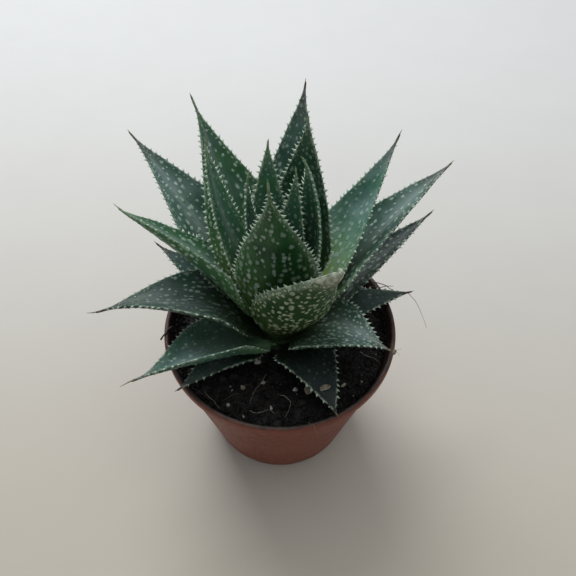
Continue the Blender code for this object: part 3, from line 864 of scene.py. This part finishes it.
def add_blade(heap, leaf):
    """The blade: rings over the upper face, round one margin, back underneath and round the other."""
    stations = int(BLADE_STATIONS * min(1.0, leaf.length / 70 + 0.15))
    sheath = np.array([-1.0, -0.4]) * SHEATH / leaf.length
    t = np.concatenate([sheath, np.linspace(0, 1, stations) ** 0.92])
    share = np.sin(np.linspace(1, -1, FACE_POINTS) * np.pi / 2)
    turn = np.linspace(0, np.pi, MARGIN_POINTS + 2)[1:-1]
    face, edge = np.zeros(FACE_POINTS), np.ones(MARGIN_POINTS)
    u = np.concatenate([share, -edge, share[::-1], edge])
    under = np.concatenate([face, 0 * edge, face + 1, 0 * edge])
    margin = np.concatenate([face, turn, face, turn[::-1]])
    half_under = np.where(margin > 0, margin / np.pi, under)
    grid_t, grid_u = np.broadcast_arrays(t[:, None], u)
    grid = leaf.skin(grid_t, grid_u, under, margin)
    if leaf.blunt:
        grid, grid_t, grid_u = close_blunt_end(grid, grid_t, grid_u)
    half = leaf.half_width(grid_t)
    from_edge = half * (1 - np.abs(grid_u))
    rim = np.where(margin > 0, 1.0, 1 - rescale(from_edge, 0.0, 0.4)) * rescale(grid_t, 0.0, 0.25)
    dry = rescale(grid_t, 0.945, 0.985)
    if leaf.blunt:
        band = rescale(from_edge, -0.1, 0.3) * (1 - rescale(from_edge, 1.0, 2.3))
        rim = np.maximum(rim, band * rescale(grid_t, 0.25, 0.5) * (grid_u < 0))
        worn = lattice_noise(np.stack([grid_u * 9, grid_t * 3, half_under + 0 * grid_t], -1), 1.0, 5)
        dry = rescale(grid_t + 0.06 * (1 + worn), 0.90, 1.06) * 0.85
    values = {"along": grid_t, "across": grid_u, "under": half_under, "rim": rim, "dry": dry,
              "run_along": grid_t * leaf.length, "run_across": grid_u * half, "tone": leaf.tone(grid_t),
              "streak": leaf.streak(grid_t, grid_u, half_under)}
    for key, value in values.items():
        value = np.broadcast_to(value, half.shape).ravel()
        values[key] = np.concatenate([value, value[[0, -1]]])
    heap.add(*closed_rings(grid, *grid[[0, -1]].mean(axis=1)), warm=leaf.warm, **values)


def close_blunt_end(grid, grid_t, grid_u):
    """Draws the last ring together over a worn, rounded end."""
    middle = grid[-1].mean(axis=0)
    ahead = unit(middle - grid[-4].mean(axis=0))
    rings = []
    for shrink in WORN_RINGS:
        ring = middle + (grid[-1] - middle) * shrink
        ring = ring + ahead * WORN_END_REACH * math.sqrt(1 - shrink * shrink)
        rings.append(ring + ahead * 0.35 * lattice_noise(ring, 1.6, 3)[:, None])
    rows = np.minimum(np.arange(len(grid) + len(rings)), len(grid) - 1)
    return np.concatenate([grid, rings]), grid_t[rows], grid_u[rows]


def add_spots(heap, leaf, draw):
    """Pale raised spots on both faces, in loose lengthwise rows with bare patches between them."""
    for under in (False, True):
        wide_half, stretch, gap = leaf.own(SPOTS)[int(under)]
        rows = int(leaf.width / 2 / gap) + 1
        places = []
        for row in range(-rows, rows + 1):
            keel = row == 0 and under
            step = gap * 1.08 * (0.85 if keel else 1.0) * SPOT_STEP.get(leaf.number, 1.0) / leaf.length
            t = 0.05 + step * draw.random() + np.cumsum(step * draw.uniform(0.55, 1.4, int(1.3 / step)))
            out = row * gap + draw.normal(0, (0.12 if keel else 0.22) * gap, len(t))
            places.append(np.stack([t, out, np.full(len(t), 1 + 0.35 * keel), np.ones_like(t)], 1))
        for sign in (1, -1):
            t = 0.1 + np.cumsum(draw.uniform(0.7, 1.3, int(leaf.length / 2.1)) * 2.2 / leaf.length)
            out = sign * (leaf.half_width(t) - draw.uniform(0.75, 1.05, len(t)))
            places.append(np.stack([t, out, np.ones_like(t), np.full(len(t), 0.55)], 1))
        t, out, slim, small = np.concatenate(places).T
        half = leaf.half_width(t)
        spread = np.stack([t * leaf.length, out, 0 * t + 9.0 * under], -1)
        patch = lattice_noise(spread, 7.0, 60 + leaf.number)
        inside = (t < 0.97) & (np.abs(out) < half - 0.5) & (draw.random(len(t)) < 0.95 + 0.45 * patch)
        t, out, half, slim, small = (row[inside] for row in (t, out, half, slim, small))
        u, count = out / half, len(t)
        wide = wide_half * draw.uniform(0.6, 1.25, count) * (1.12 - 0.4 * t)
        wide = wide * (0.6 + 0.4 * np.clip(half / 6, 0, 1)) * small
        wide = np.minimum(wide, 0.8 * (half - np.abs(out)) + 0.1)
        long = wide * slim * stretch * draw.uniform(0.75, 1.25, count) * (1.15 - 0.3 * t)
        tall = draw.uniform(0.10, 0.19, count)
        wobble = np.ones((count, len(SPOT), 3))
        wobble[:, :24, :2] = np.tile(1 + draw.uniform(-0.3, 0.3, (count, 8)), (1, 3))[..., None]
        strong = draw.uniform(0.7 if leaf.blunt else 0.45, 1.0, count) * rescale(t, -0.05, 0.3)
        strong = strong * SPOT_STRENGTHS.get(leaf.number, 1.0)
        place, ahead = leaf.frame_at(t, u, under)
        across = leaf.skin(t, u + 0.03, under) - leaf.skin(t, u - 0.03, under)
        outward = unit(np.cross(ahead, across)) * (-1.0 if under else 1.0)
        heap.add(*stamp(SPOT * wobble, SPOT_FACES, place, ahead * long[:, None],
                        np.cross(outward, ahead) * wide[:, None], outward * tall[:, None]),
                 along=t, across=u, under=float(under), spot=SPOT_RISE * strong[:, None],
                 warm=leaf.warm, run_along=t * leaf.length, run_across=out,
                 tone=leaf.tone(t), streak=leaf.streak(t, u, under))


def add_teeth(heap, leaf, draw):
    """Whitish thorns along both margins, leaning to the tip, smallest near the stem."""
    length, gap = leaf.own(TEETH)
    for sign in (1.0, -1.0):
        t = 0.08 + np.cumsum(draw.uniform(0.72, 1.28, int(leaf.length * 1.2 / gap)) * gap / leaf.length)
        t = t[t < (1.0 if leaf.blunt else 0.95)]
        u = np.full(len(t), sign)
        place, ahead = leaf.frame_at(t, u, 0, np.pi / 2)
        out = place - leaf.skin(t, u * 0.8, 0)
        out = unit(out - ahead * np.einsum("ij,ij->i", out, ahead)[:, None])
        thin = np.cross(out, ahead)
        size = length * draw.uniform(0.7, 1.15, len(t)) * (0.35 + 0.65 * rescale(t, 0.05, 0.32))
        size = (size * (1 - 0.45 * rescale(t, 0.8, 0.95)))[:, None]
        tilt, lean = (draw.normal(0, spread, (len(t), 1)) for spread in (0.15, 0.12))
        white = np.tile(TOOTH_RISE, len(t)) * TOOTH_WHITES[leaf.ring]
        # the teeth take only part of the leaf's painted light and shade in their tone
        heap.add(*stamp(TOOTH, TOOTH_FACES, place, (out + thin * tilt + ahead * lean) * size, ahead * size,
                        thin * size),
                 along=t * 0.8, across=sign, rim=1.0, tooth=white, tone=0.6 + 0.4 * leaf.tone(t))


def add_awn(heap, leaf, draw):
    """The dry hair at a leaf's tip: a tapered strand that bends gently up and aside."""
    tip = leaf.midline(np.array([0.97, 1.0]))[0]
    ahead = unit(tip[1] - tip[0])
    s = np.linspace(0, 1, 12)[:, None]
    curl = unit(np.cross(ahead, draw.normal(size=3)))
    bend = 0.16 * leaf.awn * (curl + (0, 0, 1.0))
    path = tip[1] - ahead * 1.2 + s * (leaf.awn + 1.2) * ahead + s ** 2.2 * bend
    path[:, 2:] -= 0.15 * (1 - s)
    radius = 0.22 * (1 - s) ** 0.8 + 0.04
    heap.add(*tubes(path[None], radius.T, 7), along=1.0, dry=1.0, tone=1.0)


def build_leaves():
    """Every leaf in its own piece: blade, spots, teeth and awn."""
    skins = {key: leaf_skin(f"leaf_{key}_green", look) for key, look in FINISHES.items()}
    for leaf in LEAVES:
        draw = np.random.default_rng(500 + leaf.number)
        heap = Heap(*LEAF_VALUES)
        add_blade(heap, leaf)
        add_spots(heap, leaf, draw)
        add_teeth(heap, leaf, draw)
        if not leaf.blunt:
            add_awn(heap, leaf, draw)
        node = f"leaf_{leaf.number:02d}"
        heap.piece(node + "_grown", skins[OWN_FINISH.get(leaf.number, leaf.ring)], "leaf_" + leaf.ring, node)


# Pot

def wall_radius(height):
    """Radius of the pot's outer wall at a height."""
    return FOOT_RADIUS + (RIM_RADIUS - COLLAR_PROUD - FOOT_RADIUS) * height / COLLAR_FOOT


def arc(centre, radius, start, end, steps):
    """Points of a circular arc in the profile plane, angles in degrees."""
    a = np.radians(np.linspace(start, end, steps))[:, None]
    return np.array(centre) + radius * np.hstack([np.cos(a), np.sin(a)])


def pot_profile():
    """The wall's outline as (radius, height): up inside, over the lip, down outside and under the foot."""
    rim_inside = wall_radius(POT_HEIGHT) - POT_WALL
    under_collar = wall_radius(COLLAR_FOOT)
    lip = (RIM_RADIUS - rim_inside) / 2
    floor_inside = wall_radius(POT_FLOOR) - POT_WALL
    inside_low = [(radius, POT_FLOOR) for radius in np.linspace(2.0, floor_inside - 1.2, 8)]
    inside_heights = np.linspace(POT_FLOOR + 1.2, POT_HEIGHT - lip - 1.0, 14)
    inside_wall = [(wall_radius(h) - POT_WALL, h) for h in inside_heights]
    outside_wall = [(wall_radius(h), h) for h in np.linspace(COLLAR_FOOT - 0.5, FOOT_ROUNDING + 0.6, 16)]
    base = [(radius, 0.0) for radius in np.linspace(FOOT_RADIUS - FOOT_ROUNDING - 0.6, 1.5, 9)]
    return np.vstack([
        [(0.0, POT_FLOOR)], inside_low,
        arc((floor_inside - 1.2, POT_FLOOR + 1.2), 1.2, -70, -15, 4), inside_wall,
        arc((rim_inside + lip, POT_HEIGHT - lip), lip, 180, 0, 19),
        [(RIM_RADIUS, COLLAR_FOOT + 1.2), (RIM_RADIUS, COLLAR_FOOT + 0.5)],
        arc((RIM_RADIUS - 0.4, COLLAR_FOOT + 0.4), 0.4, 0, -90, 5),
        [(under_collar + 0.35, COLLAR_FOOT), (under_collar + 0.08, COLLAR_FOOT - 0.12)],
        outside_wall, arc((FOOT_RADIUS - FOOT_ROUNDING, FOOT_ROUNDING), FOOT_ROUNDING, -8, -90, 7), base,
        [(0.0, 0.0)]])


def build_pot(material):
    """The moulded pot: its profile turned round, with half-round slots cut through the foot."""
    pot = add_object("pot_moulded", fill_mesh("pot_moulded", *turned(pot_profile(), 256)), material)
    cutters = []
    for turn in circle(DRAIN_SLOTS) + math.pi / DRAIN_SLOTS:
        bpy.ops.mesh.primitive_cylinder_add(
            vertices=48, radius=DRAIN_SLOT_RADIUS * MM, depth=9 * MM,
            location=towards(0.0, turn) * FOOT_RADIUS * MM, rotation=(0.0, math.pi / 2, turn))
        cutters.append(bpy.context.object)
    for cutter in cutters:
        slot_cut = pot.modifiers.new("drain slot", "BOOLEAN")
        slot_cut.operation = "DIFFERENCE"
        slot_cut.object = cutter
        slot_cut.solver = "EXACT"
    bpy.context.view_layer.update()
    cut = bpy.data.meshes.new_from_object(pot.evaluated_get(bpy.context.evaluated_depsgraph_get()))
    pot.modifiers.clear()
    pot.data = cut
    cut.name = "pot_moulded"
    cut.shade_smooth()
    cut.set_sharp_from_angle(angle=math.radians(35))
    for cutter in cutters:
        bpy.data.objects.remove(cutter, do_unlink=True)
    settle(pot, "pot_plastic", "pot")


# Soil and what lies on it

def soil_level(x, y):
    """Height of the soil: a hump near the stem, clods, crumbs and pits, always under SOIL_TOP."""
    flat = np.stack([x, y, np.zeros_like(x)], -1)
    radius = np.hypot(x, y)
    rough = sum(lattice_noise(flat, 3.2 / 2 ** k, 21 + k) / 2 ** k for k in range(3)) / 1.6
    level = 0.42 + 0.55 * lattice_noise(flat, 9.0, 11) + 0.40 * rough
    level = level + 0.5 * np.clip(1 - radius / 20, 0, 1) - 0.25 * rescale(radius, 36, 42)
    return SOIL_TOP - 0.25 - SOIL_RELIEF * np.clip(1 - level, 0.0, 1.35)


def build_soil(material):
    """Soil: a fine round grid shaped by soil_level, closed below by the pot's inside."""
    inside = POT_WALL + 0.4
    low = POT_FLOOR + 0.3
    steps, rings = 300, 88
    reach = (wall_radius(SOIL_TOP - 1.5) - inside) * (np.arange(1, rings + 1) / rings) ** 0.85
    top = rings_of([(radius, 0.0) for radius in reach], steps)
    top[..., 2] = soil_level(top[..., 0], top[..., 1])
    wall = [(wall_radius(h) - inside, h) for h in (SOIL_TOP - 6, SOIL_TOP - 20, SOIL_TOP - 40, low + 1)]
    wall += [((wall_radius(low) - inside) * 0.94, low), (8.0, low)]
    grid = np.concatenate([top, rings_of(wall, steps)])
    middle = soil_level(np.zeros(1), np.zeros(1))[0]
    plain_piece("soil_bed", material, [closed_rings(grid, (0, 0, middle), (0, 0, low))], nodes=["soil"])


def scattered(draw, count, outer, inner=9.5):
    """Random places on the soil between two radii, as x, y and height."""
    radius = np.sqrt(draw.uniform(inner ** 2, outer ** 2, count))
    turn = draw.uniform(0, 2 * np.pi, count)
    x, y = radius * np.cos(turn), radius * np.sin(turn)
    return x, y, soil_level(x, y)


def lumps(draw, places, sizes, flatness, jitter, level=1):
    """Irregular lumps: a bead with each point moved in or out at random, stretched and turned."""
    points, faces = bead(level)
    count = len(places)
    x = unit(draw.normal(size=(count, 3)))
    y = unit(np.cross(x, draw.normal(size=(count, 3))))
    wobble = 1 + draw.uniform(-jitter, jitter, (count, len(points), 1))
    stretch = [np.ones(count)] + [draw.uniform(least, 1, count) for least in (flatness, flatness * 0.8)]
    stretch = np.stack(stretch, -1)
    return stamp(points * wobble * (stretch * sizes[:, None])[:, None], faces, places, x, y, np.cross(x, y))


def build_crumbs(material):
    """Thousands of peat crumbs strewn over the bed, a few of them large clods, and a bank by the wall."""
    draw = np.random.default_rng(21)
    x, y, z = scattered(draw, CRUMBS, LITTER_REACH + 0.5)
    size = 0.28 + 0.75 * draw.random(CRUMBS) ** 3.2
    size[:CHUNKS] = draw.uniform(1.1, 2.0, CHUNKS)
    size[CHUNKS:CHUNKS + CLODS] = draw.uniform(2.0, 3.2, CLODS)
    top = SOIL_TOP + 0.6 + 0.35 * np.maximum(size - 1.2, 0)
    strewn = lumps(draw, np.stack([x, y, np.minimum(z + size * 0.25, top - size)], -1), size, 0.55, 0.3)
    # the bank is highest where a wave round the rim says
    turn = draw.uniform(0, 2 * np.pi, BANK_CRUMBS)
    bank = 0.9 + 0.6 * np.sin(2 * turn + 0.6) + 0.5 * np.sin(5 * turn)
    rise = draw.random(BANK_CRUMBS) ** 1.6 * np.maximum(bank, 0.25) * 1.5
    size = draw.uniform(0.3, 0.85, BANK_CRUMBS)
    radius = BANK_REACH - size * 0.5 - 2.4 * draw.random(BANK_CRUMBS) * np.exp(-rise) + 0.2 * rise
    x, y = radius * np.cos(turn), radius * np.sin(turn)
    banked = lumps(draw, np.stack([x, y, soil_level(x, y) + rise], -1), size, 0.55, 0.3)
    plain_piece("peat_crumbs", material, [strewn, banked])


# The larger grains that show: x, y and size
PERLITE = ((-8.4, -14.1, 1.5), (-6.0, -22.4, 1.1), (6.0, -25.1, 1.15), (-18.3, -33.0, 0.9),
           (-36.8, -19.4, 1.2), (-37.5, -6.5, 1.0), (-2.5, -33.5, 0.7), (-12.6, -36.6, 0.6),
           (31.0, -22.0, 0.8), (14.0, -34.5, 0.8))


def build_perlite(material):
    """Pale porous grains: the ones that show in front, and a scatter of small ones elsewhere."""
    draw = np.random.default_rng(31)
    x, y, _ = scattered(draw, GRAINS, LITTER_REACH - 0.5, 11.0)
    small = np.stack([x, y, 0.13 + 0.5 * draw.random(GRAINS) ** 2], -1)
    x, y, size = np.vstack([PERLITE, small]).T
    places = np.stack([x, y, soil_level(x, y) + size * 0.15], -1)
    plain_piece("perlite_grains", material, [lumps(draw, places, size, 0.6, 0.13, 2)])


def strand_paths(draw, count, reach, points=9):
    """Curved paths: each turns its heading evenly and wavers, lying on the soil or arching over it."""
    x, y, _ = scattered(draw, count, LITTER_REACH, 10.0)
    step = draw.uniform(*reach, (count, 1)) / (points - 1)
    heading = draw.uniform(0, 2 * np.pi, (count, 1))
    lift = draw.uniform(0.0, 1.1, (count, 1))
    s = np.linspace(0, 1, points)
    turn = draw.normal(0, 1.2, (count, 1)) * s + heading
    turn = turn + 0.35 * np.sin(s * draw.uniform(3, 8, (count, 1)) + draw.uniform(0, 6, (count, 1)))
    x, y = (start[:, None] + np.cumsum(way * step, axis=1) - way[:, :1] * step
            for start, way in ((x, np.cos(turn)), (y, np.sin(turn))))
    pull = np.minimum(1.0, LITTER_REACH / np.hypot(x, y))
    x, y = x * pull, y * pull
    return np.stack([x, y, soil_level(x, y) + lift * np.sin(np.pi * s) ** 0.8], -1)


def build_fibres():
    """Dark peat fibres all over the bed, and fewer pale roots."""
    draw = np.random.default_rng(41)
    for name, count, reach, width in (("peat_fibres", FIBRES, (3.0, 12.0), (0.07, 0.18)),
                                      ("pale_roots", ROOTS, (3.0, 9.0), (0.05, 0.09))):
        paths = strand_paths(draw, count, reach)
        width = draw.uniform(*width, (count, 1)) * (1 - 0.55 * np.linspace(0, 1, 9))
        plain_piece(name, stuff(name[:-1]), [tubes(paths, width, 5)])


def build_slivers(material):
    """Flat brown slivers of bark lying on the peat."""
    draw = np.random.default_rng(51)
    x, y, z = scattered(draw, SLIVERS, LITTER_REACH - 0.5, 10.0)
    points, faces = bead()
    turn = draw.uniform(0, 2 * np.pi, SLIVERS)
    ahead = unit(np.stack([np.cos(turn), np.sin(turn), draw.normal(0, 0.22, SLIVERS)], -1))
    across = unit(np.cross((0.0, 0.0, 1.0) + draw.normal(0, 0.25, (SLIVERS, 3)), ahead))
    long = draw.uniform(0.7, 2.4, (SLIVERS, 1))
    wobble = 1 + draw.uniform(-0.25, 0.25, (SLIVERS, len(points), 1))
    wide = draw.uniform(0.3, 0.8, (SLIVERS, 1))
    thin = draw.uniform(0.10, 0.28, (SLIVERS, 1))
    plain_piece("bark_slivers", material, [
        stamp(points * wobble, faces, np.stack([x, y, z + 0.15], -1), ahead * long, across * wide,
              np.cross(ahead, across) * thin)])


# Loose strands that show: the half width where each starts, and the four points that it passes through
STRANDS = {
    "loose_roots": (
        (0.11, (-10.2, -35.4, 62.1), (-6.8, -36.4, 62.6), (-4.2, -35.2, 62.4), (-1.1, -36.4, 61.9)),
        (0.13, (-27.3, -27.6, 62.0), (-25.6, -30.4, 62.9), (-23.4, -32.4, 62.7), (-21.1, -34.8, 61.8)),
        (0.12, (31.1, -9.2, 61.8), (33.4, -11.9, 62.9), (36.1, -13.0, 62.9), (38.4, -14.9, 62.0)),
        (0.10, (-41.9, -10.2, 63.2), (-41.2, -13.6, 63.9), (-39.4, -17.4, 63.4), (-36.6, -20.6, 62.4)),
        (0.09, (11.0, -39.6, 62.0), (12.0, -41.9, 65.4), (12.9, -43.6, 66.5), (14.3, -45.4, 62.6)),
        (0.08, (-4.6, -20.0, 62.6), (-6.4, -24.4, 63.6), (-8.8, -28.4, 63.2), (-10.4, -33.0, 62.0)),
        (0.10, (0.6, -29.0, 62.0), (3.0, -30.4, 63.0), (4.4, -33.0, 62.8), (2.6, -37.4, 61.9)),
        (0.10, (42.2, -14.0, 65.6), (43.2, -12.4, 66.7), (44.6, -11.4, 67.1), (46.4, -10.6, 66.6)),
        (0.08, (42.6, -11.0, 65.9), (43.6, -11.6, 66.8), (44.6, -12.6, 67.0), (45.4, -14.0, 66.4))),
    "loose_fibres": (
        (0.36, (-45.6, -8.4, 66.1), (-44.3, -5.8, 66.6), (-43.0, -3.0, 66.0), (-41.4, -0.6, 63.4)),
        (0.26, (36.6, 22.6, 63.0), (38.6, 21.4, 66.4), (41.8, 19.4, 67.4), (45.4, 17.4, 66.6)),
        (0.22, (37.4, 20.4, 62.8), (40.6, 18.8, 66.2), (43.0, 18.6, 67.6), (45.8, 19.4, 66.8)),
        (0.20, (35.8, 21.4, 62.8), (38.0, 19.4, 65.8), (41.4, 16.8, 66.8), (43.8, 15.4, 65.6)),
        (0.11, (50.3, 14.6, 68.6), (53.4, 12.6, 67.0), (56.2, 9.2, 63.8), (58.4, 3.4, 60.4)),
        (0.16, (-34.6, -24.4, 62.0), (-31.0, -27.6, 63.2), (-27.4, -29.8, 63.0), (-23.6, -33.6, 62.0)))}
# Dry flakes: middle, half sizes lengthwise, sidewise and thick, heading and slope in degrees
FLAKES = ((16.2, -29.8, 69.25, 2.5, 1.05, 0.16, 12, 10), (11.2, -27.0, 62.7, 2.0, 1.6, 0.30, 70, 10),
          (24.0, -24.6, 62.6, 1.1, 0.6, 0.12, 40, 8), (-13.2, -26.4, 62.5, 1.2, 0.9, 0.12, 120, -12),
          (43.4, -12.2, 66.3, 1.3, 0.7, 0.14, 60, 12))


def through(points, count=17):
    """A smooth path through four points: the cubic that meets each at thirds of its run."""
    s = np.linspace(0, 1, count)[:, None]
    knots = np.array([0.0, 1 / 3, 2 / 3, 1.0])
    return sum(np.array(points[k]) * np.prod((s - np.delete(knots, k)) / (knots[k] - np.delete(knots, k)),
                                             axis=1, keepdims=True) for k in range(4))


def build_strands():
    """Roots and fibres that lie on the peat and over the rim."""
    for name, strands in STRANDS.items():
        paths = np.stack([through(row[1:]) for row in strands])
        paths = paths + 0.25 * np.stack([lattice_noise(paths, 1.7, 90 + k) for k in range(3)], -1)
        widths = np.array([row[:1] for row in strands]) * np.linspace(1.0, 0.45, 17)
        plain_piece(name, stuff(name[:-1]), [tubes(paths, widths, 7)])


def build_flakes(material):
    """Dry flakes: each is dished, its edge raised by a third of its half width, and its outline is ragged."""
    draw = np.random.default_rng(61)
    rows = np.array(FLAKES)
    ahead = towards(np.radians(rows[:, 7]), np.radians(rows[:, 6]))
    across = unit(np.cross((0.0, 0.0, 1.0), ahead))
    shape, faces = bead(2)
    local = shape * (1 + draw.uniform(-0.22, 0.22, (len(rows), len(shape), 1)))
    dish = 0.35 * rows[:, None, 4] * (local[..., 0] ** 2 + local[..., 1] ** 2)
    local = local * rows[:, None, 3:6]
    local[..., 2] += dish
    plain_piece("dry_flakes", material, [
        stamp(local, faces, rows[:, :3], ahead, across, np.cross(ahead, across))])


def build_stem(material):
    """The short stem between the leaf bases, turned from its outline with low leaf scars."""
    height = np.concatenate([np.linspace(32.6, 0, 60), [-5, -11, -15]])
    radius = ramp(height, STEM_OUTLINE) + 0.12 * np.sin(height * 2.1)
    profile = np.vstack([(0.0, 33), np.stack([radius, height], 1), (0.0, -15)]) + (0.0, SOIL_TOP)
    plain_piece("stem_crown", material, [turned(profile, 64)], "stem", ["stem"])


add_camera()
add_floor()
add_studio()
PEAT = peat()
build_pot(pot_plastic())
build_soil(PEAT)
build_crumbs(PEAT)
build_perlite(stuff("perlite"))
build_fibres()
build_slivers(stuff("bark"))
build_strands()
build_flakes(stuff("dry_husk"))
build_stem(stuff("stem_green"))
build_leaves()
